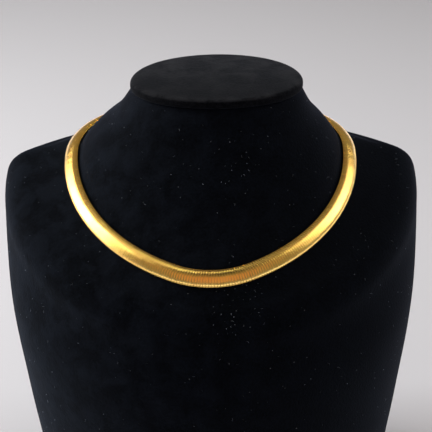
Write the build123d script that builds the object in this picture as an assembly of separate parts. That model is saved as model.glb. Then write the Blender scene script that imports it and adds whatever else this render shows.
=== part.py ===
from build123d import *
import os
from math import atan2, cos, degrees, radians, sin

os.makedirs("parts", exist_ok=True)

# A flat omega collar lying on a velvet neck bust.
# +Z is up, the chest faces -Y, and the bust stands on its flat base at Z = 0.
# Every oval is six tangent arcs: a throat arc, a nape arc, and a front and a back arc on each side.
# The collar's loop lies in one plane that falls towards the throat, and its face is a cone about
# that plane's normal, so that each of its arcs is a section turned about the arc's centre.

# ------------------------------------------------------------------ collar (mm, degrees)
collar_half_width = 68.0   # middle of the loop to the middle of the band, at each side
collar_front = 84.0        # the same to the throat
collar_back = 41.0         # the same to the nape
throat_turn = 65.0         # how far each front side arc turns before the throat arc
nape_turn = 58.0           # how far each back side arc turns before the nape arc
collar_height = 184.0      # middle of the loop above the base
collar_tilt = 20.0         # the loop's plane falls towards the throat
band_slope = 30.5          # the band's face falls outwards from the loop's plane
band_width = 8.0
band_edge = 1.2            # thickness of the band at its two edges
band_crown = 0.8           # how much the face rises in the middle
band_corner = 0.4          # rounding of the upper edges
clasp_length = 16.0
clasp_over = 0.2           # how far the clasp stands past each edge of the band
clasp_thick = 2.6
clasp_corner = 0.6
clasp_gap = 0.2            # clearance between the clasp and each end of the band
seat_gap = 0.35            # clearance between the band and the velvet

# ------------------------------------------------------------------ bust (mm, degrees)
shoulder_half_width = 104.0
neck_half_width = 40.4     # at the top of the neck
neck_front = 32.6          # middle of the collar to the front of the neck's top
neck_rise = 32.6           # middle of the collar to the neck's top
neck_shift = 3.4           # how far the neck's top stands to one side
neck_front_corner = 0.64
neck_back_corner = 0.68
cap_overhang = 0.8
cap_thick = 5.0
cap_dome = 1.0
cap_edge = 1.9             # rounding of the cap's upper edge
cap_gap = 0.2              # clearance under the cap

# The bust's ovals, from the base to the neck's top. "Out" is the share of the way from the
# collar's outer edge to the shoulders, and "in" the share from the collar's inner edge to the
# neck's top. "Past throat" adds to the collar's front, and "short of nape" comes off its back.
# A corner is where the side arc ends, from 0, with no side arc, to 1, with no end arc.
# share of collar_height, tilt, out, past throat, short of nape, front corner, back corner
torso_ovals = [
    (0.00, 0, 0.60, 0, 5.0, 0.5, 0.3),
    (0.34, 4, 0.83, 5, 2.5, 0.5, 0.3),
    (0.64, 10, 0.97, 10, 1.0, 0.5, 0.3),
]
# depth under the loop's plane, out, past throat, short of nape, front corner, back corner, widest
shoulder_ovals = [
    (26.0, 1.00, 23.5, 5.5, 0.60, 0.14, 3),
    (17.6, 0.97, 20.5, 5.0, 0.62, 0.11, 5),
    (11.8, 0.88, 16.5, 5.0, 0.65, 0.10, 6),
    (8.1, 0.71, 12.5, 5.5, 0.68, 0.13, 6),
    (6.6, 0.46, 9.0, 6.0, 0.72, 0.16, 5),
]
seat_clear = 1.0           # how far the velvet keeps inside the band's nape, at its outer edge
nape_clear = 0.7           # the same at its inner edge
# share of neck_rise, tilt, in, in at the front, short of nape, front corner, back corner
neck_ovals = [
    (0.18, 16.5, 0.17, 0.34, 6.5, 0.77, 0.52),
    (0.40, 12, 0.37, 0.61, 6.0, 0.71, 0.61),
    (0.66, 6, 0.71, 0.82, 5.0, 0.68, 0.62),
]
neck_short = 2.6           # short of nape, at the neck's top

band_slant = radians(band_slope)
band_reach = band_width / 2 * cos(band_slant)
band_rise = band_width / 2 * sin(band_slant)
seat_drop = (band_edge / 2 + seat_gap) / cos(band_slant)
neck_top = collar_height + neck_rise
neck_back = collar_back - neck_short


def quarter_radii(half_width, reach, turn):
    """Radii of the side arc and of the end arc of a quarter oval."""
    c = cos(radians(turn))
    s = sin(radians(turn))
    side = (reach * c - half_width * (1 - s)) / (c + s - 1)
    end = (half_width * s - reach * (1 - c)) / (c + s - 1)
    return side, end


def corner_turn(half_width, reach, corner):
    """How far the side arc of a quarter oval turns, within the turns that leave both radii above 0."""
    slant = degrees(atan2(reach, half_width))
    least = max(0, 90 - 2 * slant)
    most = min(90, 180 - 2 * slant)
    return least + (most - least) * corner


def oval_arcs(half_width, front, back, front_turn, back_turn, widest=0.0, shift=0.0):
    """Arcs of an oval as (centre x, centre y, radius, start angle, arc angle), from the throat round."""
    front_side, throat = quarter_radii(half_width, front + widest, front_turn)
    back_side, nape = quarter_radii(half_width, back - widest, back_turn)
    return [
        (shift, throat - front, throat, front_turn - 180, 180 - 2 * front_turn),
        (shift + half_width - front_side, widest, front_side, -front_turn, front_turn),
        (shift + half_width - back_side, widest, back_side, 0, back_turn),
        (shift, back - nape, nape, back_turn, 180 - 2 * back_turn),
        (shift + back_side - half_width, widest, back_side, 180 - back_turn, back_turn),
        (shift + front_side - half_width, widest, front_side, 180, front_turn),
    ]


def bust_arcs(half_width, front, back, front_corner, back_corner, widest=0.0, shift=0.0):
    """Arcs of an oval whose corners keep their place when its sizes change."""
    front_turn = corner_turn(half_width, front + widest, front_corner)
    back_turn = corner_turn(half_width, back - widest, back_corner)
    return oval_arcs(half_width, front, back, front_turn, back_turn, widest, shift)


def tilted(height, tilt):
    """A plane over the middle of the collar that falls towards the throat."""
    return Plane(
        origin=(0, 0, height),
        x_dir=(1, 0, 0),
        z_dir=(0, -sin(radians(tilt)), cos(radians(tilt))),
    )


def oval_face(plane, arcs):
    """The flat face inside an oval, on a plane."""
    edges = [CenterArc((x, y), radius, start, turn) for x, y, radius, start, turn in arcs]
    return plane * make_face(edges)


def between(start, end, share):
    """The value that lies a share of the way from one to the other."""
    return start + (end - start) * share


collar_plane = tilted(collar_height, collar_tilt)
collar_arcs = oval_arcs(collar_half_width, collar_front, collar_back, throat_turn, nape_turn)
nape_number = 3
nape_arc = collar_arcs[nape_number]
clasp_turn = degrees(clasp_length / 2 / nape_arc[2])
gap_turn = degrees(clasp_gap / nape_arc[2])


def band_section():
    """Section of the band about its middle: X outwards, Y up, flat below and crowned above."""
    half = band_width / 2
    low = -band_edge / 2
    high = band_edge / 2
    inset = band_corner * (1 - cos(radians(45)))
    side = high - band_corner
    flat = half - band_corner
    outline = [
        Line((-half, side), (-half, low)),
        Line((-half, low), (half, low)),
        Line((half, low), (half, side)),
        ThreePointArc((half, side), (half - inset, high - inset), (flat, high)),
        ThreePointArc((flat, high), (0, high + band_crown), (-flat, high)),
        ThreePointArc((-flat, high), (inset - half, high - inset), (-half, side)),
    ]
    return make_face(outline)


def turned(section, arc, start, turn):
    """A section turned about the centre of one of the collar's arcs."""
    x, y, radius = arc[:3]
    place = Location((x, y, 0)) * Rotation(0, 0, start) * Location((radius, 0, 0))
    face = place * Rotation(90, 0, 0) * Rotation(0, 0, -band_slope) * section
    return revolve(face, Axis((x, y, 0), (0, 0, 1)), turn)


def omega_band():
    """The collar's springy flat band, open at the nape for the clasp."""
    section = band_section()
    start, turn = nape_arc[3:]
    side_turn = turn / 2 - clasp_turn - gap_turn
    band = turned(section, nape_arc, start, side_turn) + turned(
        section, nape_arc, start + turn - side_turn, side_turn
    )
    for number, arc in enumerate(collar_arcs):
        if number != nape_number:
            band = band + turned(section, arc, arc[3], arc[4])
    return collar_plane * band


def clasp():
    """The box clasp at the nape, one plain piece."""
    lift = Pos(0, clasp_thick / 2 - band_edge / 2)
    section = lift * RectangleRounded(band_width + 2 * clasp_over, clasp_thick, clasp_corner)
    start = nape_arc[3] + nape_arc[4] / 2 - clasp_turn
    return collar_plane * turned(section, nape_arc, start, 2 * clasp_turn)


def velvet_bust():
    """The bust's body, lofted from the base over the chest and shoulders to the top of the neck."""
    outer = collar_half_width + band_reach
    inner = collar_half_width - band_reach
    throat = collar_front - band_reach
    sections = []
    for share, tilt, out, front, short, *corners in torso_ovals:
        arcs = bust_arcs(between(outer, shoulder_half_width, out), collar_front + front,
                         collar_back - short, *corners)
        sections.append(oval_face(tilted(share * collar_height, tilt), arcs))
    for depth, out, front, short, *corners in shoulder_ovals:
        arcs = bust_arcs(between(outer, shoulder_half_width, out), collar_front + front,
                         collar_back - short, *corners)
        sections.append(oval_face(collar_plane.offset(-depth), arcs))
    # the seat is a cone that runs parallel to the band, from its outer to its inner edge
    for side, clear in ((1, seat_clear), (-1, nape_clear)):
        arcs = oval_arcs(collar_half_width + side * band_reach, collar_front + side * band_reach,
                         collar_back - band_reach - clear, throat_turn, nape_turn)
        sections.append(oval_face(collar_plane.offset(-seat_drop - side * band_rise), arcs))
    for share, tilt, inward, front_inward, short, *corners in neck_ovals:
        arcs = bust_arcs(between(inner, neck_half_width, inward), between(throat, neck_front, front_inward),
                         collar_back - short, *corners, 0, neck_shift * inward)
        sections.append(oval_face(tilted(collar_height + share * neck_rise, tilt), arcs))
    arcs = bust_arcs(neck_half_width, neck_front, neck_back, neck_front_corner, neck_back_corner,
                     0, neck_shift)
    sections.append(oval_face(tilted(neck_top, 0), arcs))
    return loft(sections, ruled=True)


def neck_cap():
    """The padded oval cap on top of the neck, a little wider than the neck and slightly domed."""
    low = neck_top + cap_gap
    high = low + cap_thick
    arcs = bust_arcs(neck_half_width + cap_overhang, neck_front + cap_overhang, neck_back + cap_overhang,
                     neck_front_corner, neck_back_corner, 0, neck_shift)
    disc = extrude(oval_face(tilted(low, 0), arcs), cap_thick)
    dome_radius = (neck_half_width ** 2 + cap_dome ** 2) / (2 * cap_dome)
    disc = disc & Pos(neck_shift, 0, high - dome_radius) * Sphere(dome_radius)
    upper = [edge for edge in disc.edges() if edge.center().Z > low + cap_thick / 2]
    rim = [edge for edge in upper if abs((edge % 0.5).Z) < 0.5]
    return fillet(rim, cap_edge)


def main():
    """Build every piece, put the box's middle over the origin and write one file for each."""
    pieces = {
        "velvet_bust": velvet_bust(),
        "neck_cap": neck_cap(),
        "omega_band": omega_band(),
        "clasp": clasp(),
    }
    solids = {name: piece.solids()[0] for name, piece in pieces.items()}
    middle = Compound(list(solids.values())).bounding_box().center()
    for name, solid in solids.items():
        export_step(Pos(0, -middle.Y, 0) * solid, f"parts/{name}.step")


main()
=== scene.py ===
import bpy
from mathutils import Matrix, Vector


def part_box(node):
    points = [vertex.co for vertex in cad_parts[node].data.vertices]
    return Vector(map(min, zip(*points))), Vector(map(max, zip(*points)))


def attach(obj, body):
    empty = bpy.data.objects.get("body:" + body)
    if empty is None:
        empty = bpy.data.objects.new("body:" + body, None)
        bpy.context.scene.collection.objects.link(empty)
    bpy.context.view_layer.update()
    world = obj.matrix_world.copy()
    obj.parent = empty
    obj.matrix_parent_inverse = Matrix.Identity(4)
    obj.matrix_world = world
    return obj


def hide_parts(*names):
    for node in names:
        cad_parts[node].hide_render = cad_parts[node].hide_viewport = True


bl_info = {
    "name": "Omega Collar on a Velvet Bust",
    "version": (1, 0, 0),
    "blender": (4, 5, 0),
    "location": "View3D > Sidebar > Collar",
    "description": "Builds a flat omega collar lying on a black velvet neck bust, with its studio stage",
    "category": "Object",
}

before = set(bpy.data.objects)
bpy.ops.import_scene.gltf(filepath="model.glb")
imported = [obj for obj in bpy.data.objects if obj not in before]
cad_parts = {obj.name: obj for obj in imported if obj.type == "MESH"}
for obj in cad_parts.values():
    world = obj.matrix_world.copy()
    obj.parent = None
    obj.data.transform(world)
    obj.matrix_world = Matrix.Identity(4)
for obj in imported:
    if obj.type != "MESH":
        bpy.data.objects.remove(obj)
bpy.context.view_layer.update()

from math import atan2, cos, degrees, pi, radians, sin
from types import SimpleNamespace

import bpy
import numpy as np
from bpy.props import FloatProperty, FloatVectorProperty, IntProperty, PointerProperty
from bpy.types import Operator, Panel, PropertyGroup
from mathutils import Matrix, Vector, noise

MM = 0.001
BODY = "root"

# The bust's ovals, from the base to the neck's top. They are as in the part's source except at the
# neck's foot (the first neck oval and NAPE_CLEAR), where the velvet is up to 1 mm fuller than the
# part, so that no background shows between the neck and the band. "Out" is the share of
# the way from the collar's outer edge to the shoulders, and "in" the share from the collar's inner
# edge to the neck's top. A corner is where the side arc ends, from 0 to 1.
# share of the collar's height, tilt, out, past throat, short of nape, front corner, back corner
TORSO_OVALS = [
    (0.00, 0, 0.60, 0, 5.0, 0.5, 0.3),
    (0.34, 4, 0.83, 5, 2.5, 0.5, 0.3),
    (0.64, 10, 0.97, 10, 1.0, 0.5, 0.3),
]
# depth under the loop's plane, out, past throat, short of nape, front corner, back corner, widest
SHOULDER_OVALS = [
    (26.0, 1.00, 23.5, 5.5, 0.60, 0.14, 3),
    (17.6, 0.97, 20.5, 5.0, 0.62, 0.11, 5),
    (11.8, 0.88, 16.5, 5.0, 0.65, 0.10, 6),
    (8.1, 0.71, 12.5, 5.5, 0.68, 0.13, 6),
    (6.6, 0.46, 9.0, 6.0, 0.72, 0.16, 5),
]
# share of the neck's rise, tilt, in, in at the front, short of nape, front corner, back corner
NECK_OVALS = [
    (0.18, 16.5, 0.13, 0.34, 6.0, 0.77, 0.56),
    (0.40, 12, 0.37, 0.61, 6.0, 0.71, 0.61),
    (0.66, 6, 0.71, 0.82, 5.0, 0.68, 0.62),
]
SEAT_CLEAR = 1.0
NAPE_CLEAR = 0.6
NECK_SHORT = 2.6
# points on the throat arc, a front side arc, a back side arc, the nape arc, and back round
ARC_POINTS = (40, 44, 24, 56, 24, 44)
# the share of its pitch that a plate fills, and the share of a plate that is level along the band
PLATE_FILL = 0.94
PLATE_LEVEL = 0.62
# the woven core, in millimetres: clear of the plates at its edges and below, its thickness, its weave
CORE_SIDE_GAP = 0.12
CORE_LOW_GAP = 0.02
CORE_THICK = 0.3
CORE_WEAVE = 0.07


# ---------------------------------------------------------------------------------- settings

def length_setting(name, description, default):
    """A length, given in millimetres and kept in metres."""
    return FloatProperty(name=name, description=description, default=default * MM, unit="LENGTH",
                         precision=5)


def angle_setting(name, description, default):
    """An angle, given in degrees and kept in radians."""
    return FloatProperty(name=name, description=description, default=radians(default), subtype="ANGLE")


def colour_setting(name, description, default):
    """A colour."""
    return FloatVectorProperty(name=name, description=description, default=default, subtype="COLOR")


class CollarSettings(PropertyGroup):
    """Sizes and finish of the necklace, given in millimetres and degrees."""

    half_width: length_setting("Half Width", "Middle of the loop to the band at each side", 68.0)
    front: length_setting("Front", "Middle of the loop to the band at the throat", 84.0)
    back: length_setting("Back", "Middle of the loop to the band at the nape", 41.0)
    throat_turn: angle_setting("Throat Turn", "Turn of each front side arc", 65.0)
    nape_turn: angle_setting("Nape Turn", "Turn of each back side arc", 58.0)
    height: length_setting("Height", "Middle of the loop above the base", 184.0)
    tilt: angle_setting("Tilt", "Fall of the loop's plane to the throat", 20.0)
    slope: angle_setting("Slope", "Fall of the band's face outwards", 30.5)
    band_width: length_setting("Band Width", "Width across the band", 8.0)
    band_edge: length_setting("Band Edge", "Thickness at the band's edges", 1.2)
    band_crown: length_setting("Band Crown", "Rise of the face in the middle", 0.8)
    edge_round: length_setting("Edge Rounding", "Rounding of a plate's two shoulders", 0.62)
    seat_gap: length_setting("Seat Gap", "Clearance between band and velvet", 0.35)
    plate_pitch: length_setting("Plate Pitch", "Length of one plate along the band", 1.2)
    plate_wall: length_setting("Plate Wall", "Thickness of a plate", 0.26)
    plate_fall: length_setting("Plate Fall", "How far a plate's two ends round down", 0.035)
    clasp_length: length_setting("Clasp Length", "Length of the clasp at the nape", 16.0)
    gold: colour_setting("Gold", "Colour of the gold where it is clean", (0.96, 0.63, 0.15))
    aged_gold: colour_setting("Aged Gold", "Colour of the gold where it is dull", (0.78, 0.36, 0.08))


class BustSettings(PropertyGroup):
    """Sizes and finish of the velvet bust, given in millimetres."""

    shoulder_half_width: length_setting("Shoulders", "Half the width of the shoulders", 104.0)
    neck_half_width: length_setting("Neck", "Half the width of the neck's top", 40.4)
    neck_front: length_setting("Neck Front", "Middle of the collar to the neck's front", 32.6)
    neck_rise: length_setting("Neck Rise", "Middle of the collar to the neck's top", 32.6)
    neck_shift: length_setting("Neck Shift", "How far the neck's top stands to one side", 3.4)
    cap_overhang: length_setting("Cap Overhang", "How far the cap stands past the neck", 0.8)
    cap_thick: length_setting("Cap Thickness", "Thickness of the cap", 5.0)
    cap_dome: length_setting("Cap Dome", "Rise of the cap's middle", 1.0)
    cap_edge: length_setting("Cap Edge", "Rounding of the cap's upper rim", 1.9)
    cap_gap: length_setting("Cap Gap", "Seam between the cap and the neck", 0.2)
    velvet: colour_setting("Velvet", "Colour of the pile", (0.0002, 0.0004, 0.0009))
    # the bust's lighter pile colour, used for its grain and for painted light from the left window
    rubbed_velvet: colour_setting("Velvet Grain And Painted Light", "Colour where the pile lies down",
                                  (0.0030, 0.0042, 0.0064))
    # the cap's lighter pile colour, used for its worn rim and for painted sheen on its top
    worn_velvet: colour_setting("Worn Velvet And Painted Sheen", "Colour of the cap's worn pile", (0.0105, 0.0110, 0.0120))
    lint_density: FloatProperty(name="Lint", description="Specks per square metre where most has gathered",
                                default=60000.0)
    lint_seed: IntProperty(name="Lint Seed", description="Fixed seed of the lint's places", default=7)


class StageSettings(PropertyGroup):
    """Camera, light and floor."""

    camera_reach: length_setting("Camera Distance", "Camera to the middle of the collar", 520.0)
    camera_fall: angle_setting("Camera Fall", "Angle from the camera down to the collar", 22.0)
    camera_side: angle_setting("Camera Side", "Angle of the camera to the collar's right", 0.26)
    camera_roll: angle_setting("Camera Roll", "Turn of the picture", 0.85)
    aim_fall: angle_setting("Aim Fall", "How far below the collar's middle the camera looks", 3.6)
    aim_side: angle_setting("Aim Side", "How far to the side of the collar's middle it looks", -0.25)
    lens: FloatProperty(name="Lens", description="Focal length in millimetres", default=88.06,
                        unit="CAMERA")
    floor: colour_setting("Floor", "Colour of the floor", (0.60, 0.60, 0.625))


def plain_sizes(settings):
    """A group's settings as plain numbers, with lengths in millimetres and angles in degrees."""
    plain = SimpleNamespace()
    for prop in settings.bl_rna.properties:
        if prop.identifier in ("rna_type", "name"):
            continue
        value = getattr(settings, prop.identifier)
        if prop.unit == "LENGTH":
            value = round(value / MM, 4)
        elif prop.unit == "ROTATION":
            value = round(degrees(value), 4)
        setattr(plain, prop.identifier, value)
    return plain


def collar_sizes():
    """The necklace's settings in millimetres and degrees."""
    return plain_sizes(bpy.context.scene.collar)


def bust_sizes():
    """The bust's settings in millimetres."""
    return plain_sizes(bpy.context.scene.bust)


# ---------------------------------------------------------------------------------- shapes

def quarter_radii(half_width, reach, turn):
    """Radii of the side arc and of the end arc of a quarter oval."""
    c = cos(radians(turn))
    s = sin(radians(turn))
    side = (reach * c - half_width * (1 - s)) / (c + s - 1)
    end = (half_width * s - reach * (1 - c)) / (c + s - 1)
    return side, end


def corner_turn(half_width, reach, corner):
    """How far the side arc of a quarter oval turns, within the turns that leave both radii above 0."""
    slant = degrees(atan2(reach, half_width))
    least = max(0, 90 - 2 * slant)
    most = min(90, 180 - 2 * slant)
    return least + (most - least) * corner


def oval_arcs(half_width, front, back, front_turn, back_turn, widest=0.0, shift=0.0):
    """Arcs of an oval as (centre x, centre y, radius, start angle, arc angle), from the throat round."""
    front_side, throat = quarter_radii(half_width, front + widest, front_turn)
    back_side, nape = quarter_radii(half_width, back - widest, back_turn)
    return [
        (shift, throat - front, throat, front_turn - 180, 180 - 2 * front_turn),
        (shift + half_width - front_side, widest, front_side, -front_turn, front_turn),
        (shift + half_width - back_side, widest, back_side, 0, back_turn),
        (shift, back - nape, nape, back_turn, 180 - 2 * back_turn),
        (shift + back_side - half_width, widest, back_side, 180 - back_turn, back_turn),
        (shift + front_side - half_width, widest, front_side, 180, front_turn),
    ]


def bust_arcs(half_width, front, back, front_corner, back_corner, widest=0.0, shift=0.0):
    """Arcs of an oval whose corners keep their place when its sizes change."""
    front_turn = corner_turn(half_width, front + widest, front_corner)
    back_turn = corner_turn(half_width, back - widest, back_corner)
    return oval_arcs(half_width, front, back, front_turn, back_turn, widest, shift)


def oval_points(arcs):
    """Points round an oval, with the same number on each arc of every oval."""
    points = []
    for (x, y, radius, start, turn), count in zip(arcs, ARC_POINTS):
        angles = np.radians(start + turn * np.arange(count) / count)
        points.append(np.column_stack((x + radius * np.cos(angles), y + radius * np.sin(angles))))
    return np.vstack(points)


def placed(points, height, tilt, depth=0.0):
    """Flat points on a plane over the collar's middle that falls to the throat, in millimetres."""
    c = cos(radians(tilt))
    s = sin(radians(tilt))
    x, y = points.T
    return np.column_stack((x, y * c + depth * s, height + y * s - depth * c))


def between(start, end, share):
    """The value that lies a share of the way from one to the other."""
    return start + (end - start) * share


def collar_arcs(collar):
    """The six arcs of the collar's loop."""
    return oval_arcs(collar.half_width, collar.front, collar.back, collar.throat_turn, collar.nape_turn)


def middle_y():
    """Where the middle of the collar's loop lies along Y, in metres, found from the cap's box."""
    bust = bust_sizes()
    collar = collar_sizes()
    low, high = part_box("neck_cap")
    neck_back = collar.back - NECK_SHORT
    return (low[1] + high[1]) / 2 - (neck_back - bust.neck_front) / 2 * MM


def bust_sections():
    """The bust's ovals as rings of points from the base to the neck's top, in millimetres."""
    collar = collar_sizes()
    bust = bust_sizes()
    slant = radians(collar.slope)
    reach = collar.band_width / 2 * cos(slant)
    rise = collar.band_width / 2 * sin(slant)
    drop = (collar.band_edge / 2 + collar.seat_gap) / cos(slant)
    outer = collar.half_width + reach
    rings = []
    for share, tilt, out, front, short, *corners in TORSO_OVALS:
        arcs = bust_arcs(between(outer, bust.shoulder_half_width, out), collar.front + front,
                         collar.back - short, *corners)
        rings.append(placed(oval_points(arcs), share * collar.height, tilt))
    for depth, out, front, short, *corners in SHOULDER_OVALS:
        arcs = bust_arcs(between(outer, bust.shoulder_half_width, out), collar.front + front,
                         collar.back - short, *corners)
        rings.append(placed(oval_points(arcs), collar.height, collar.tilt, depth))
    for side, clear in ((1, SEAT_CLEAR), (-1, NAPE_CLEAR)):
        arcs = oval_arcs(collar.half_width + side * reach, collar.front + side * reach,
                         collar.back - reach - clear, collar.throat_turn, collar.nape_turn)
        rings.append(placed(oval_points(arcs), collar.height, collar.tilt, drop + side * rise))
    for share, tilt, inward, front_inward, short, *corners in NECK_OVALS:
        arcs = bust_arcs(between(collar.half_width - reach, bust.neck_half_width, inward),
                         between(collar.front - reach, bust.neck_front, front_inward),
                         collar.back - short, *corners, 0, bust.neck_shift * inward)
        rings.append(placed(oval_points(arcs), collar.height + share * bust.neck_rise, tilt))
    rings.append(placed(neck_outline(), collar.height + bust.neck_rise, 0))
    return rings


def neck_outline(offset=0.0):
    """Points round the neck's top, or round the cap where an offset is given, in millimetres."""
    collar = collar_sizes()
    bust = bust_sizes()
    arcs = bust_arcs(bust.neck_half_width + offset, bust.neck_front + offset,
                     collar.back - NECK_SHORT + offset, 0.64, 0.68, 0, bust.neck_shift)
    return oval_points(arcs)


def smooth_rings(rings, steps):
    """Rings on a smooth surface through the given rings, with a number of steps in each gap."""
    first = 2 * rings[0] - rings[1]
    last = 2 * rings[-1] - rings[-2]
    points = [first] + list(rings) + [last]
    out = []
    for number, count in enumerate(steps):
        p0, p1, p2, p3 = points[number:number + 4]
        t1 = np.sqrt(np.linalg.norm(p1 - p0, axis=1))[:, None]
        t2 = t1 + np.sqrt(np.linalg.norm(p2 - p1, axis=1))[:, None]
        t3 = t2 + np.sqrt(np.linalg.norm(p3 - p2, axis=1))[:, None]
        for step in range(count):
            t = t1 + (t2 - t1) * step / count
            a1 = (t1 - t) / t1 * p0 + t / t1 * p1
            a2 = (t2 - t) / (t2 - t1) * p1 + (t - t1) / (t2 - t1) * p2
            a3 = (t3 - t) / (t3 - t2) * p2 + (t - t2) / (t3 - t2) * p3
            b1 = (t2 - t) / t2 * a1 + t / t2 * a2
            b2 = (t3 - t) / (t3 - t1) * a2 + (t - t1) / (t3 - t1) * a3
            out.append((t2 - t) / (t2 - t1) * b1 + (t - t1) / (t2 - t1) * b2)
    out.append(rings[-1])
    return out


def shrunk(ring, share, drop=0.0):
    """A ring drawn in towards its middle by a share, and lowered."""
    middle = (ring.max(axis=0) + ring.min(axis=0)) / 2
    out = middle + (ring - middle) * (1 - share)
    out[:, 2] = ring[:, 2] - drop
    return out


def ring_mesh(name, rings):
    """A mesh object through rings of points, closed round each ring, with a fan at both ends."""
    rings = np.array(rings)
    count, around = rings.shape[:2]
    verts = rings.reshape(-1, 3)
    column = np.arange(around)
    beside = np.roll(column, -1)
    faces = []
    for row in range(count - 1):
        low = row * around
        high = low + around
        faces += np.column_stack((low + column, low + beside, high + beside, high + column)).tolist()
    verts = np.vstack((verts, rings[0].mean(axis=0), rings[-1].mean(axis=0)))
    bottom = count * around
    top = bottom + 1
    last = (count - 1) * around
    faces += [(bottom, b, a) for a, b in zip(column.tolist(), beside.tolist())]
    faces += [(top, last + a, last + b) for a, b in zip(column.tolist(), beside.tolist())]
    mesh = bpy.data.meshes.new(name)
    mesh.from_pydata(verts.tolist(), [], faces)
    mesh.validate()
    mesh.update()
    return new_object(name, mesh)


def new_object(name, data, smooth=True):
    """Link a new object at the origin."""
    piece = bpy.data.objects.new(name, data)
    bpy.context.scene.collection.objects.link(piece)
    if smooth and hasattr(data, "polygons"):
        data.polygons.foreach_set("use_smooth", [True] * len(data.polygons))
    return piece


def dress(piece, material):
    """Give a finished piece its material and body."""
    piece.data.materials.clear()
    piece.data.materials.append(material)
    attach(piece, BODY)


# ---------------------------------------------------------------------------------- node helpers

def add_node(tree, kind, values=None, **settings):
    """Add a node, set its properties, and set or link its inputs."""
    node = tree.nodes.new(kind)
    for key, value in settings.items():
        setattr(node, key, value)
    for key, value in (values or {}).items():
        if isinstance(value, bpy.types.NodeSocket):
            tree.links.new(value, node.inputs[key])
        else:
            node.inputs[key].default_value = value
    return node


def math_node(tree, operation, first, second=0.5):
    """The result of one sum on two values."""
    return add_node(tree, "ShaderNodeMath", {0: first, 1: second}, operation=operation).outputs[0]


def mapped(tree, value, low, high, to_low=0.0, to_high=1.0):
    """A value mapped from one range to another, and held inside it."""
    values = {"Value": value, "From Min": low, "From Max": high, "To Min": to_low, "To Max": to_high}
    return add_node(tree, "ShaderNodeMapRange", values).outputs["Result"]


def new_group(name, inputs, outputs):
    """A shader node group with named inputs and outputs."""
    tree = bpy.data.node_groups.new(name, "ShaderNodeTree")
    for label, kind, default in inputs:
        socket = tree.interface.new_socket(label, in_out="INPUT", socket_type=kind)
        if default is not None:
            socket.default_value = default
    for label, kind in outputs:
        tree.interface.new_socket(label, in_out="OUTPUT", socket_type=kind)
    return tree, tree.nodes.new("NodeGroupInput"), tree.nodes.new("NodeGroupOutput")


def group_in(material_tree, group, values):
    """Place a node group in a material with its own values."""
    return add_node(material_tree, "ShaderNodeGroup", values, node_tree=group)


def new_material(name):
    """A material with an empty tree, its Principled shader and its object coordinates."""
    material = bpy.data.materials.new(name)
    material.use_nodes = True
    tree = material.node_tree
    tree.nodes.clear()
    shader = tree.nodes.new("ShaderNodeBsdfPrincipled")
    output = tree.nodes.new("ShaderNodeOutputMaterial")
    tree.links.new(shader.outputs["BSDF"], output.inputs["Surface"])
    coordinates = tree.nodes.new("ShaderNodeTexCoord").outputs["Object"]
    return material, tree, shader, coordinates


# ---------------------------------------------------------------------------------- materials

def pile_group():
    """Short brushed pile: colour and bump that change over the velvet."""
    if "Velvet Pile" in bpy.data.node_groups:
        return bpy.data.node_groups["Velvet Pile"]
    tree, source, result = new_group(
        "Velvet Pile",
        [("Vector", "NodeSocketVector", None), ("Pile Size", "NodeSocketFloat", 0.5),
         ("Stroke Size", "NodeSocketFloat", 14.0), ("Dark", "NodeSocketColor", None),
         ("Light", "NodeSocketColor", None), ("Wear And Painted Light", "NodeSocketFloat", 0.5)],
        [("Color", "NodeSocketColor"), ("Height", "NodeSocketFloat")])
    ins = source.outputs
    pile_scale = math_node(tree, "DIVIDE", 1000.0, ins["Pile Size"])
    stroke_scale = math_node(tree, "DIVIDE", 1000.0, ins["Stroke Size"])
    pile = add_node(tree, "ShaderNodeTexNoise",
                    {"Vector": ins["Vector"], "Scale": pile_scale, "Detail": 3.0})
    strokes = add_node(tree, "ShaderNodeTexNoise",
                       {"Vector": ins["Vector"], "Scale": stroke_scale, "Detail": 5.0, "Roughness": 0.6,
                        "Distortion": 0.4})
    # the brushed strokes are scaled by the given mask, which paints light into the colour, and on the cap
    # also its worn rim
    strokes_and_painted_light = mapped(tree, strokes.outputs["Fac"], 0.40, 0.64)
    strokes_and_painted_light = math_node(tree, "MULTIPLY", strokes_and_painted_light, ins["Wear And Painted Light"])
    grain = mapped(tree, pile.outputs["Fac"], 0.35, 0.75, 0.0, 0.45)
    share = math_node(tree, "ADD", strokes_and_painted_light, grain)
    mixed = add_node(tree, "ShaderNodeMix", {"Factor": share, "A": ins["Dark"], "B": ins["Light"]},
                     data_type="RGBA")
    tree.links.new(mixed.outputs["Result"], result.inputs["Color"])
    height = math_node(tree, "ADD", pile.outputs["Fac"], math_node(tree, "MULTIPLY", strokes_and_painted_light, 0.6))
    tree.links.new(height, result.inputs["Height"])
    return tree


def cap_painted_sheen_and_worn_rim(tree, coordinates):
    """Painted sheen on the cap's top, lightest at its back and kept off its side, plus worn pile along its
    rim.
    """
    bust = bust_sizes()
    low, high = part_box("neck_cap")
    place = add_node(tree, "ShaderNodeSeparateXYZ", {"Vector": coordinates}).outputs
    # painted sheen: the cap's top is made lighter towards its back
    back = mapped(tree, place["Y"], low[1], high[1], 0.05, 1.3)
    rim = low[2] + (bust.cap_thick - bust.cap_edge) * MM
    # the painted sheen stops below the rim, so the side stays darker
    side = mapped(tree, place["Z"], rim - 0.8 * MM, rim, 0.1, 1.0)
    # the pile worn pale along the rim
    off_rim = math_node(tree, "ABSOLUTE", math_node(tree, "SUBTRACT", place["Z"], rim + 0.55 * MM))
    worn = mapped(tree, off_rim, 0.1 * MM, 0.6 * MM, 1.8, 0.0)
    return math_node(tree, "ADD", math_node(tree, "MULTIPLY", back, side), worn)


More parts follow.
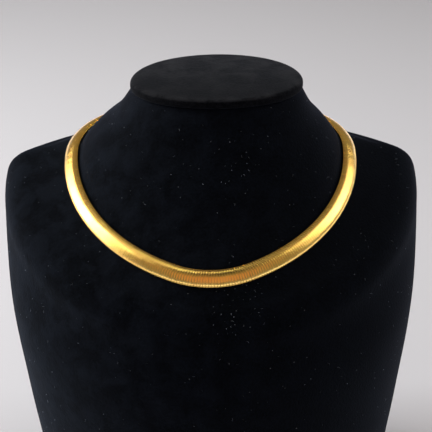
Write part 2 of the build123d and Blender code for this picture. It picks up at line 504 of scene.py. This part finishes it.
def bust_painted_side_light(tree, coordinates):
    """Painted light: the bust's colour is made lighter towards its right arm, the side that the left window
    lights.
    """
    bust = bust_sizes()
    reach = bust.shoulder_half_width * MM
    place = add_node(tree, "ShaderNodeSeparateXYZ", {"Vector": coordinates}).outputs
    # painted light: lighter towards -X, where the left window falls
    return mapped(tree, place["X"], reach * 0.4, -reach, 0.15, 1.3)


def velvet_material(name, dark, light, wear_and_painted_light, sheen, tint):
    """Black cotton velvet with a short pile that lightens in brushed strokes where the given mask paints
    light into it (and on the cap marks wear), and where it is seen edge on.
    """
    material, tree, shader, coordinates = new_material(name)
    pile = group_in(tree, pile_group(), {
        "Vector": coordinates, "Pile Size": 1.0, "Stroke Size": 11.0,
        "Dark": (*dark, 1.0), "Light": (*light, 1.0), "Wear And Painted Light": wear_and_painted_light(tree, coordinates)})
    tree.links.new(pile.outputs["Color"], shader.inputs["Base Color"])
    bump = add_node(tree, "ShaderNodeBump",
                    {"Height": pile.outputs["Height"], "Strength": 0.55, "Distance": 0.0003})
    tree.links.new(bump.outputs["Normal"], shader.inputs["Normal"])
    shader.inputs["Roughness"].default_value = 0.9
    shader.inputs["Specular IOR Level"].default_value = 0.03
    shader.inputs["Sheen Weight"].default_value = sheen
    shader.inputs["Sheen Roughness"].default_value = 0.42
    shader.inputs["Sheen Tint"].default_value = (*tint, 1.0)
    return material


def wear_group():
    """Handling marks on polished metal: where it has dulled, how rough it is, and its fine scratches."""
    if "Metal Wear" in bpy.data.node_groups:
        return bpy.data.node_groups["Metal Wear"]
    tree, source, result = new_group(
        "Metal Wear",
        [("Vector", "NodeSocketVector", None), ("Patch Size", "NodeSocketFloat", 9.0),
         ("Scratch Size", "NodeSocketFloat", 0.25), ("Dullness", "NodeSocketFloat", 0.3),
         ("Low Roughness", "NodeSocketFloat", 0.12), ("High Roughness", "NodeSocketFloat", 0.3),
         ("Clean", "NodeSocketColor", None), ("Aged", "NodeSocketColor", None)],
        [("Color", "NodeSocketColor"), ("Roughness", "NodeSocketFloat"), ("Height", "NodeSocketFloat")])
    ins = source.outputs
    patch_scale = math_node(tree, "DIVIDE", 1000.0, ins["Patch Size"])
    scratch_scale = math_node(tree, "DIVIDE", 1000.0, ins["Scratch Size"])
    patches = add_node(tree, "ShaderNodeTexNoise",
                       {"Vector": ins["Vector"], "Scale": patch_scale, "Detail": 6.0, "Roughness": 0.65})
    scratches = add_node(tree, "ShaderNodeTexNoise",
                         {"Vector": ins["Vector"], "Scale": scratch_scale, "Detail": 2.0})
    aged = mapped(tree, patches.outputs["Fac"], 0.4, 0.7)
    aged = math_node(tree, "MULTIPLY", aged, ins["Dullness"])
    mixed = add_node(tree, "ShaderNodeMix", {"Factor": aged, "A": ins["Clean"], "B": ins["Aged"]},
                     data_type="RGBA")
    tree.links.new(mixed.outputs["Result"], result.inputs["Color"])
    spread = math_node(tree, "ADD", math_node(tree, "MULTIPLY", patches.outputs["Fac"], 0.6),
                       math_node(tree, "MULTIPLY", scratches.outputs["Fac"], 0.4))
    spread = mapped(tree, spread, 0.35, 0.65)
    span = math_node(tree, "SUBTRACT", ins["High Roughness"], ins["Low Roughness"])
    rough = math_node(tree, "ADD", math_node(tree, "MULTIPLY", spread, span), ins["Low Roughness"])
    tree.links.new(rough, result.inputs["Roughness"])
    tree.links.new(scratches.outputs["Fac"], result.inputs["Height"])
    return tree


def gold_material(name, clean, aged, dullness, roughness, scratch_size=0.25, strength=0.04):
    """Gold-plated brass, polished and a little worn."""
    material, tree, shader, coordinates = new_material(name)
    wear = group_in(tree, wear_group(), {
        "Vector": coordinates, "Scratch Size": scratch_size, "Dullness": dullness,
        "Low Roughness": roughness[0], "High Roughness": roughness[1],
        "Clean": (*clean, 1.0), "Aged": (*aged, 1.0)})
    tree.links.new(wear.outputs["Color"], shader.inputs["Base Color"])
    tree.links.new(wear.outputs["Roughness"], shader.inputs["Roughness"])
    bump = add_node(tree, "ShaderNodeBump",
                    {"Height": wear.outputs["Height"], "Strength": strength, "Distance": 0.0001})
    tree.links.new(bump.outputs["Normal"], shader.inputs["Normal"])
    shader.inputs["Metallic"].default_value = 1.0
    return material


# ---------------------------------------------------------------------------------- bust

class COLLAR_OT_velvet_bust(Operator):
    """Build the bust's velvet body from the base to the neck's top"""

    bl_idname = "collar.velvet_bust"
    bl_label = "Velvet Bust"

    def execute(self, context):
        bust = bust_sizes()
        sections = bust_sections()
        # rings from each oval to the next
        steps = (26, 22, 16, 5, 5, 4, 4, 6, 6, 6, 5, 5, 5)
        rings = smooth_rings(sections, steps)
        # the velvet turns under at the base and in under the cap
        base = rings[0]
        rings = [shrunk(base, 0.014), shrunk(base, 0.004), shrunk(base, 0.0, -1.4)] + rings[1:]
        rings[1][:, 2] += 0.4
        top = rings[-1]
        rings[-1] = shrunk(top, 0.003, 0.9)
        rings += [shrunk(top, 0.012, 0.15), shrunk(top, 0.03), shrunk(top, 0.3)]
        rings = [waved(ring) * MM + np.array((0, middle_y(), 0)) for ring in rings]
        piece = ring_mesh("bust_velvet", rings)
        # the bust gets painted light towards its right arm
        material = velvet_material("black_velvet", bust.velvet, bust.rubbed_velvet, bust_painted_side_light, 0.06,
                                   (0.62, 0.76, 1.0))
        dress(piece, material)
        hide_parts("velvet_bust")
        return {"FINISHED"}


def waved(ring, height=0.1, length=23.0):
    """A ring with the slight unevenness of velvet glued over a moulded form, inwards only."""
    out = ring.copy()
    for number, point in enumerate(ring):
        outward = Vector((point[0], point[1], 0)).normalized()
        lift = height * (noise.noise(Vector(point) / length) - 1)
        out[number, :2] += np.array(outward[:2]) * lift
    return out


class COLLAR_OT_neck_cap(Operator):
    """Build the velvet-covered oval cap on the neck"""

    bl_idname = "collar.neck_cap"
    bl_label = "Neck Cap"

    def execute(self, context):
        collar = collar_sizes()
        bust = bust_sizes()
        low = collar.height + bust.neck_rise + bust.cap_gap
        outline = placed(neck_outline(bust.cap_overhang), low, 0)
        # inset as a share of the half width, and height above the cap's underside
        half = bust.neck_half_width + bust.cap_overhang
        edge = bust.cap_edge
        under = 1.1
        profile = [(0.5, 0.0), (3.0 / half, 0.0)]
        for step in range(6):
            turn = radians(90 * step / 5)
            profile.append(((under - under * sin(turn)) / half, under - under * cos(turn)))
        top = bust.cap_thick - bust.cap_dome * 0.95
        for step in range(9):
            turn = radians(82 * step / 8)
            profile.append(((edge - edge * cos(turn)) / half, top - edge + edge * sin(turn)))
        for share in (0.06, 0.08, 0.11, 0.15, 0.2, 0.27, 0.35, 0.45, 0.55, 0.66, 0.77, 0.88, 0.96):
            profile.append((share, bust.cap_thick - bust.cap_dome * (1 - share) ** 2))
        rings = []
        for share, height in profile:
            ring = shrunk(outline, share)
            ring[:, 2] += height
            rings.append(ring * MM + np.array((0, middle_y(), 0)))
        piece = ring_mesh("cap_velvet", rings)
        # the cap gets painted sheen at the back of its top, and a worn rim
        material = velvet_material("cap_black_velvet", bust.velvet, bust.worn_velvet, cap_painted_sheen_and_worn_rim, 0.035,
                                   (0.80, 0.86, 0.95))
        dress(piece, material)
        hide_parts("neck_cap")
        return {"FINISHED"}


# the share of the lint that lies everywhere, and then where more has gathered on the front:
# along X, height, spread, share of the most
STRAY_LINT = 0.16
LINT_PLACES = [(15, 142, 9, 1.0), (13, 193, 8, 0.8), (-33, 183, 5, 0.7), (54, 205, 8, 0.6)]


def lint_tree():
    """Geometry nodes that scatter one kind of lint over the velvet, thickest where it has gathered."""
    tree = bpy.data.node_groups.new("Lint Scatter", "GeometryNodeTree")
    sockets = [("Geometry", "NodeSocketGeometry"), ("Speck", "NodeSocketObject"),
               ("Density", "NodeSocketFloat"), ("Seed", "NodeSocketInt"), ("Least", "NodeSocketFloat"),
               ("Material", "NodeSocketMaterial")]
    for label, kind in sockets:
        tree.interface.new_socket(label, in_out="INPUT", socket_type=kind)
    tree.interface.new_socket("Geometry", in_out="OUTPUT", socket_type="NodeSocketGeometry")
    ins = tree.nodes.new("NodeGroupInput").outputs
    result = tree.nodes.new("NodeGroupOutput")
    gathered = add_node(tree, "GeometryNodeInputNamedAttribute", {"Name": "lint"}, data_type="FLOAT")
    density = math_node(tree, "MULTIPLY", gathered.outputs["Attribute"], ins["Density"])
    points = add_node(tree, "GeometryNodeDistributePointsOnFaces",
                      {"Mesh": ins["Geometry"], "Density": density, "Seed": ins["Seed"]})
    speck = add_node(tree, "GeometryNodeObjectInfo", {"Object": ins["Speck"], "As Instance": True})
    turn = add_node(tree, "FunctionNodeRandomValue", data_type="FLOAT")
    turn.inputs[2].default_value = 0.0
    turn.inputs[3].default_value = 2 * pi
    tree.links.new(ins["Seed"], turn.inputs["Seed"])
    spin = add_node(tree, "ShaderNodeCombineXYZ", {"Z": turn.outputs[1]})
    spin = add_node(tree, "FunctionNodeEulerToRotation", {0: spin.outputs[0]})
    rotation = add_node(tree, "FunctionNodeRotateRotation",
                        {"Rotation": points.outputs["Rotation"], "Rotate By": spin.outputs[0]},
                        rotation_space="LOCAL")
    scale = add_node(tree, "FunctionNodeRandomValue", data_type="FLOAT")
    tree.links.new(ins["Least"], scale.inputs[2])
    scale.inputs[3].default_value = 1.0
    tree.links.new(ins["Seed"], scale.inputs["Seed"])
    specks = add_node(tree, "GeometryNodeInstanceOnPoints",
                      {"Points": points.outputs["Points"], "Instance": speck.outputs["Geometry"],
                       "Rotation": rotation.outputs[0], "Scale": scale.outputs[1]})
    real = add_node(tree, "GeometryNodeRealizeInstances", {"Geometry": specks.outputs["Instances"]})
    coloured = add_node(tree, "GeometryNodeSetMaterial",
                        {"Geometry": real.outputs["Geometry"], "Material": ins["Material"]})
    tree.links.new(coloured.outputs["Geometry"], result.inputs["Geometry"])
    return tree


def fibre_mesh(name, length, thick, bend, lift):
    """A short bent fibre that lies on the XY plane, just above it."""
    steps = 5
    rings = []
    for step in range(steps + 1):
        share = step / steps
        radius = thick / 2 * (0.35 + 0.65 * sin(pi * (0.1 + 0.8 * share)))
        middle = np.array(((share - 0.5) * length, bend * (4 * share * (1 - share)), lift * share))
        turns = np.radians((90, 210, 330))
        ring = np.column_stack((np.zeros(3), np.cos(turns) * radius, np.sin(turns) * radius))
        rings.append((middle + ring) * MM)
    return ring_mesh(name, rings)


class COLLAR_OT_lint(Operator):
    """Scatter fibres and specks of lint on the velvet"""

    bl_idname = "collar.lint"
    bl_label = "Lint"

    def execute(self, context):
        bust = bust_sizes()
        material, _, shader, _ = new_material("pale_lint")
        shader.inputs["Base Color"].default_value = (0.22, 0.25, 0.28, 1.0)
        shader.inputs["Roughness"].default_value = 0.8
        ground = new_object("lint_ground", bpy.data.objects["bust_velvet"].data.copy())
        places = np.empty(len(ground.data.vertices) * 3)
        ground.data.vertices.foreach_get("co", places)
        x, y, z = places.reshape(-1, 3).T / MM
        gathered = np.full(len(x), STRAY_LINT)
        for along, height, spread, share in LINT_PLACES:
            gathered += share * np.exp(-((x - along) ** 2 + (z - height) ** 2) / (2 * spread ** 2)) * (y < 0)
        lint = ground.data.attributes.new("lint", "FLOAT", "POINT")
        lint.data.foreach_set("value", gathered)
        tree = lint_tree()
        # name, then length, thickness, bend and lift in millimetres, then share of the lint
        kinds = (("lint_fibres", 1.5, 0.09, 0.35, 0.5, 0.30), ("lint_specks", 0.45, 0.28, 0.03, 0.1, 0.70))
        for number, (name, length, thick, bend, lift, share) in enumerate(kinds):
            speck = fibre_mesh(name + "_shape", length, thick, bend, lift)
            values = {"Speck": speck, "Density": bust.lint_density * share,
                      "Seed": bust.lint_seed + number, "Least": 0.35, "Material": material}
            piece = apply_nodes(ground, tree, values, name)
            bpy.data.objects.remove(speck)
            dress(piece, material)
        bpy.data.objects.remove(ground)
        return {"FINISHED"}


# ---------------------------------------------------------------------------------- collar

def route_points(collar):
    """The band's route from one end at the clasp round the throat to the other.

    Gives each plate's place in the loop's plane and the turn of its outward direction."""
    arcs = collar_arcs(collar)
    nape = arcs[3]
    clasp_turn = degrees((collar.clasp_length / 2 + 0.2) / nape[2])
    order = [(*nape[:3], nape[3] + nape[4] / 2 + clasp_turn, nape[4] / 2 - clasp_turn)]
    order += [arcs[4], arcs[5], arcs[0], arcs[1], arcs[2]]
    order += [(*nape[:3], nape[3], nape[4] / 2 - clasp_turn)]
    lengths = [radius * radians(turn) for _, _, radius, _, turn in order]
    count = round(sum(lengths) / collar.plate_pitch)
    pitch = sum(lengths) / count
    places = []
    for number in range(count):
        along = (number + 0.5) * pitch
        for (x, y, radius, start, _), length in zip(order, lengths):
            if along <= length:
                angle = radians(start) + along / radius
                places.append((x + radius * cos(angle), y + radius * sin(angle), angle))
                break
            along -= length
    return places, pitch


def plate_profile(collar, inset=0.0):
    """Half-open section of one plate, from one lip round the face to the other lip.

    X runs outwards across the band and Y up from its middle."""
    half = collar.band_width / 2 - inset
    low = -collar.band_edge / 2 + inset
    high = collar.band_edge / 2 - inset
    corner = collar.edge_round
    lip = 1.1
    points = [(lip - half, low), (0.3 - half, low), (-half, low + 0.3)]
    side = [(-half, high - corner)]
    for step in (1, 2, 3):
        turn = radians(62 * step / 3)
        side.append((corner - corner * cos(turn) - half, high - corner + corner * sin(turn)))
    points += side
    reach = -side[-1][0]
    base = side[-1][1]
    top = collar.band_edge / 2 + collar.band_crown - inset
    for step in range(1, 12):
        x = -reach + 2 * reach * step / 12
        points.append((x, base + (top - base) * (1 - (x / reach) ** 2)))
    points += [(-x, y) for x, y in reversed(side)]
    points += [(half, low + 0.3), (half - 0.3, low), (half - lip, low)]
    return points


def plate_mesh(collar, pitch):
    """One crimped plate: a thin shell whose two ends round down, lying along Y at the origin."""
    outer = plate_profile(collar)
    rounded = plate_profile(collar, collar.plate_fall)
    inner = plate_profile(collar, collar.plate_wall)
    half = pitch / 2 * PLATE_FILL
    columns = [(rounded, -half), (outer, -half * PLATE_LEVEL), (outer, half * PLATE_LEVEL), (rounded, half),
               (inner, half), (inner, -half)]
    count = len(outer)
    verts = [(x * MM, y * MM, z * MM) for points, y in columns for x, z in points]
    faces = []
    for column in range(len(columns)):
        here = column * count
        there = (column + 1) % len(columns) * count
        for row in range(count - 1):
            faces.append((here + row, here + row + 1, there + row + 1, there + row))
    starts = [column * count for column in range(len(columns))]
    faces.append(tuple(starts))
    faces.append(tuple(start + count - 1 for start in reversed(starts)))
    mesh = bpy.data.meshes.new("plate")
    mesh.from_pydata(verts, [], faces)
    mesh.validate()
    mesh.update()
    return mesh


def plates_tree():
    """Geometry nodes that set a plate at each point of the route and lay the loop in its plane."""
    tree = bpy.data.node_groups.new("Plates Along the Collar", "GeometryNodeTree")
    sockets = [("Geometry", "NodeSocketGeometry"), ("Plate", "NodeSocketObject"),
               ("Slope", "NodeSocketFloat"), ("Tilt", "NodeSocketFloat"), ("Middle", "NodeSocketVector"),
               ("Jitter", "NodeSocketFloat"), ("Seed", "NodeSocketInt"), ("Material", "NodeSocketMaterial")]
    for label, kind in sockets:
        tree.interface.new_socket(label, in_out="INPUT", socket_type=kind)
    tree.interface.new_socket("Geometry", in_out="OUTPUT", socket_type="NodeSocketGeometry")
    ins = tree.nodes.new("NodeGroupInput").outputs
    result = tree.nodes.new("NodeGroupOutput")
    plate = add_node(tree, "GeometryNodeObjectInfo", {"Object": ins["Plate"], "As Instance": True})
    turn = add_node(tree, "GeometryNodeInputNamedAttribute", {"Name": "turn"}, data_type="FLOAT")
    low = math_node(tree, "MULTIPLY", ins["Jitter"], -1.0)
    jitters = []
    for shift in (0, 1):
        seed = math_node(tree, "ADD", ins["Seed"], float(shift))
        chance = add_node(tree, "FunctionNodeRandomValue", data_type="FLOAT")
        tree.links.new(low, chance.inputs[2])
        tree.links.new(ins["Jitter"], chance.inputs[3])
        tree.links.new(seed, chance.inputs["Seed"])
        jitters.append(chance.outputs[1])
    slope = math_node(tree, "ADD", ins["Slope"], jitters[0])
    angles = add_node(tree, "ShaderNodeCombineXYZ",
                      {"X": jitters[1], "Y": slope, "Z": turn.outputs["Attribute"]})
    rotation = add_node(tree, "FunctionNodeEulerToRotation", {0: angles.outputs[0]})
    placed_plates = add_node(tree, "GeometryNodeInstanceOnPoints",
                             {"Points": ins["Geometry"], "Instance": plate.outputs["Geometry"],
                              "Rotation": rotation.outputs[0]})
    tilt = add_node(tree, "ShaderNodeCombineXYZ", {"X": ins["Tilt"]})
    tilt = add_node(tree, "FunctionNodeEulerToRotation", {0: tilt.outputs[0]})
    laid = add_node(tree, "GeometryNodeTransform",
                    {"Geometry": placed_plates.outputs["Instances"], "Translation": ins["Middle"],
                     "Rotation": tilt.outputs[0]})
    real = add_node(tree, "GeometryNodeRealizeInstances", {"Geometry": laid.outputs["Geometry"]})
    coloured = add_node(tree, "GeometryNodeSetMaterial",
                        {"Geometry": real.outputs["Geometry"], "Material": ins["Material"]})
    tree.links.new(coloured.outputs["Geometry"], result.inputs["Geometry"])
    return tree


def apply_nodes(piece, tree, values, name):
    """Run a geometry node tree on a piece and return the result as a plain mesh object."""
    modifier = piece.modifiers.new("Nodes", "NODES")
    modifier.node_group = tree
    for item in tree.interface.items_tree:
        if item.in_out == "INPUT" and item.name in values:
            modifier[item.identifier] = values[item.name]
    depsgraph = bpy.context.evaluated_depsgraph_get()
    mesh = bpy.data.meshes.new_from_object(piece.evaluated_get(depsgraph))
    mesh.name = name
    piece.modifiers.remove(modifier)
    return new_object(name, mesh, smooth=False)


def collar_middle():
    """The middle of the collar's loop, in metres."""
    return Vector((0, middle_y(), collar_sizes().height * MM))


class COLLAR_OT_omega_band(Operator):
    """Build the omega band: its row of crimped plates and the woven core inside them"""

    bl_idname = "collar.omega_band"
    bl_label = "Omega Band"

    def execute(self, context):
        collar = collar_sizes()
        material = gold_material("polished_gold", collar.gold, collar.aged_gold, 0.45, (0.13, 0.26))
        places, pitch = route_points(collar)
        route_mesh = bpy.data.meshes.new("plate_places")
        route_mesh.from_pydata([(x * MM, y * MM, 0) for x, y, _ in places], [], [])
        turns = route_mesh.attributes.new("turn", "FLOAT", "POINT")
        turns.data.foreach_set("value", [turn for _, _, turn in places])
        route = new_object("plate_places", route_mesh)
        plate = new_object("plate", plate_mesh(collar, pitch))
        plate.data.shade_smooth()
        plate.data.set_sharp_from_angle(angle=radians(35))
        values = {"Plate": plate, "Slope": radians(collar.slope), "Tilt": radians(collar.tilt),
                  "Middle": collar_middle(), "Jitter": radians(1.0), "Seed": 11, "Material": material}
        plates = apply_nodes(route, plates_tree(), values, "omega_plates")
        for helper in (route, plate):
            bpy.data.objects.remove(helper)
        dress(plates, material)
        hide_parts("omega_band")
        core = self.core(collar)
        dull = gold_material("woven_core_gold", collar.aged_gold, collar.aged_gold, 0.0, (0.3, 0.45))
        dress(core, dull)
        return {"FINISHED"}

    def core(self, collar):
        """The flat woven core that the plates are crimped on, seen from underneath."""
        places, _ = route_points(collar)
        slant = radians(collar.slope)
        half = collar.band_width / 2 - collar.plate_wall - CORE_SIDE_GAP
        low = -collar.band_edge / 2 + collar.plate_wall + CORE_LOW_GAP
        high = low + CORE_THICK
        rings = []
        for number, (x, y, turn) in enumerate(places):
            ridge = CORE_WEAVE if number % 2 else 0.0
            section = [(-half, low), (-half * 0.5, low + ridge), (0, low + CORE_WEAVE - ridge),
                       (half * 0.5, low + ridge), (half, low), (half, high), (-half, high)]
            out = Vector((cos(turn), sin(turn), 0))
            ring = []
            for across, up in section:
                reach = across * cos(slant) + up * sin(slant)
                lift = up * cos(slant) - across * sin(slant)
                ring.append(np.array((x, y, 0)) + np.array(out) * reach + np.array((0, 0, lift)))
            rings.append(np.array(ring))
        c = cos(radians(collar.tilt))
        s = sin(radians(collar.tilt))
        lay = np.array(((1, 0, 0), (0, c, s), (0, -s, c)))
        rings = [ring @ lay * MM + np.array(collar_middle()) for ring in rings]
        core = ring_mesh("woven_core", rings)
        core.data.flip_normals()
        return core


class COLLAR_OT_clasp(Operator):
    """Give the box clasp at the nape its finish"""

    bl_idname = "collar.clasp"
    bl_label = "Clasp"

    def execute(self, context):
        collar = collar_sizes()
        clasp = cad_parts["clasp"]
        material = gold_material("clasp_gold", collar.gold, collar.aged_gold, 0.6, (0.14, 0.3), 0.4, 0.06)
        for slot in clasp.material_slots:
            slot.material = material
        return {"FINISHED"}


# ---------------------------------------------------------------------------------- stage

def area_light(name, place, aim, size, power, colour=(1, 1, 1)):
    """A rectangular soft light that faces a point, its size across and up in metres."""
    data = bpy.data.lights.new(name, "AREA")
    data.shape = "RECTANGLE"
    data.size, data.size_y = size
    data.energy = power
    data.color = colour
    light = bpy.data.objects.new(name, data)
    bpy.context.scene.collection.objects.link(light)
    light.location = place
    light.rotation_euler = (Vector(place) - Vector(aim)).to_track_quat("Z", "Y").to_euler()
    return light


class COLLAR_OT_stage(Operator):
    """Build the pale floor, the soft lights and the camera"""

    bl_idname = "collar.stage"
    bl_label = "Stage"

    def execute(self, context):
        stage = context.scene.stage
        middle = collar_middle()
        self.floor(stage)
        self.lights(middle)
        self.camera(context, stage, middle)
        return {"FINISHED"}

    def floor(self, stage):
        mesh = bpy.data.meshes.new("floor")
        size = 4.0
        mesh.from_pydata([(-size, -size, 0), (size, -size, 0), (size, size, 0), (-size, size, 0)], [],
                         [(0, 1, 2, 3)])
        floor = new_object("floor", mesh)
        material, _, shader, _ = new_material("pale_floor")
        shader.inputs["Base Color"].default_value = (*stage.floor, 1.0)
        shader.inputs["Roughness"].default_value = 0.7
        floor.data.materials.append(material)

    def lights(self, middle):
        # two tall windows stand at the sides, and thin panels hang over the throat
        for name, place, size, power in (("left_window", (-0.95, 0.15, 0.62), (0.55, 1.00), 18.0),
                                         ("right_window", (0.98, 0.15, 0.81), (0.55, 1.08), 8.5)):
            place = middle + Vector(place)
            area_light(name, place, Vector((middle.x, place.y, place.z)), size, power)
        panels = (("bright_panel", -0.44, 0.60, 0.80), ("dim_panel", 0.22, 0.70, 0.22))
        for name, along, size, power in panels:
            place = middle + Vector((along, -0.13, 1.25))
            area_light(name, place, place - Vector((0, 0, 1)), (size, 0.13), power)
        area_light("warm_card", middle + Vector((0.05, -1.0, 0.75)), middle, (1.5, 0.8), 1.25,
                   (1.0, 0.36, 0.16))
        wash = area_light("wall_wash", middle + Vector((-1.0, 1.1, 1.4)),
                          middle + Vector((-0.5, 0.8, -0.18)), (1.0, 0.4), 9.5)
        # it lights the floor behind the bust and would show in the band as a stray streak
        wash.visible_glossy = False
        world = bpy.data.worlds.new("studio")
        world.use_nodes = True
        tree = world.node_tree
        background = tree.nodes["Background"]
        direction = tree.nodes.new("ShaderNodeTexCoord").outputs["Generated"]
        rise = add_node(tree, "ShaderNodeSeparateXYZ", {"Vector": direction}).outputs["Z"]
        ramp = add_node(tree, "ShaderNodeValToRGB", {"Fac": rise})
        walls = ((0.00, (2.10, 2.20, 3.00)), (0.08, (1.60, 1.70, 2.30)), (0.15, (0.27, 0.25, 0.24)),
                 (0.88, (0.24, 0.21, 0.17)), (0.97, (0.03, 0.03, 0.03)))
        stops = ramp.color_ramp.elements
        while len(stops) < len(walls):
            stops.new(0.5)
        for stop, (place, colour) in zip(stops, walls):
            stop.position = place
            stop.color = (*colour, 1.0)
        tree.links.new(ramp.outputs["Color"], background.inputs["Color"])
        background.inputs["Strength"].default_value = 1.0
        bpy.context.scene.world = world
        bpy.context.scene.view_settings.view_transform = "Standard"

    def camera(self, context, stage, middle):
        data = bpy.data.cameras.new("camera")
        data.lens = stage.lens
        data.sensor_width = 36.0
        data.clip_start = 0.01
        camera = bpy.data.objects.new("camera", data)
        context.scene.collection.objects.link(camera)
        side, fall = stage.camera_side, stage.camera_fall
        back = Vector((sin(side) * cos(fall), -cos(side) * cos(fall), sin(fall)))
        camera.location = middle + back * stage.camera_reach
        # the collar's middle lies above the middle of the picture and a little to its left
        aim_fall = fall + stage.aim_fall
        axis = Vector((sin(side) * cos(aim_fall), -cos(side) * cos(aim_fall), sin(aim_fall)))
        right = Vector((cos(side), sin(side), 0))
        swing = stage.aim_side
        turned_axis = axis * cos(swing) + right * sin(swing)
        right = right * cos(swing) - axis * sin(swing)
        up = turned_axis.cross(right)
        roll = stage.camera_roll
        rolled_right = right * cos(roll) - up * sin(roll)
        rolled_up = up * cos(roll) + right * sin(roll)
        turn = Matrix((rolled_right, rolled_up, turned_axis)).transposed()
        camera.rotation_euler = turn.to_euler()
        context.scene.camera = camera


class VIEW3D_PT_collar(Panel):
    """Buttons and settings in the sidebar"""

    bl_label = "Collar"
    bl_space_type = "VIEW_3D"
    bl_region_type = "UI"
    bl_category = "Collar"

    def draw(self, context):
        layout = self.layout
        for group in (context.scene.collar, context.scene.bust, context.scene.stage):
            box = layout.box()
            for prop in group.bl_rna.properties:
                if prop.identifier not in ("rna_type", "name"):
                    box.prop(group, prop.identifier)
        for operator in OPERATORS:
            layout.operator(operator.bl_idname)


OPERATORS = (COLLAR_OT_velvet_bust, COLLAR_OT_neck_cap, COLLAR_OT_lint, COLLAR_OT_omega_band,
             COLLAR_OT_clasp, COLLAR_OT_stage)
CLASSES = (CollarSettings, BustSettings, StageSettings) + OPERATORS + (VIEW3D_PT_collar,)


def register():
    for cls in CLASSES:
        bpy.utils.register_class(cls)
    bpy.types.Scene.collar = PointerProperty(type=CollarSettings)
    bpy.types.Scene.bust = PointerProperty(type=BustSettings)
    bpy.types.Scene.stage = PointerProperty(type=StageSettings)


def unregister():
    for name in ("collar", "bust", "stage"):
        delattr(bpy.types.Scene, name)
    for cls in reversed(CLASSES):
        bpy.utils.unregister_class(cls)


def main():
    register()
    bpy.ops.collar.velvet_bust()
    bpy.ops.collar.neck_cap()
    bpy.ops.collar.lint()
    bpy.ops.collar.omega_band()
    bpy.ops.collar.clasp()
    bpy.ops.collar.stage()


if __name__ == "__main__":
    main()
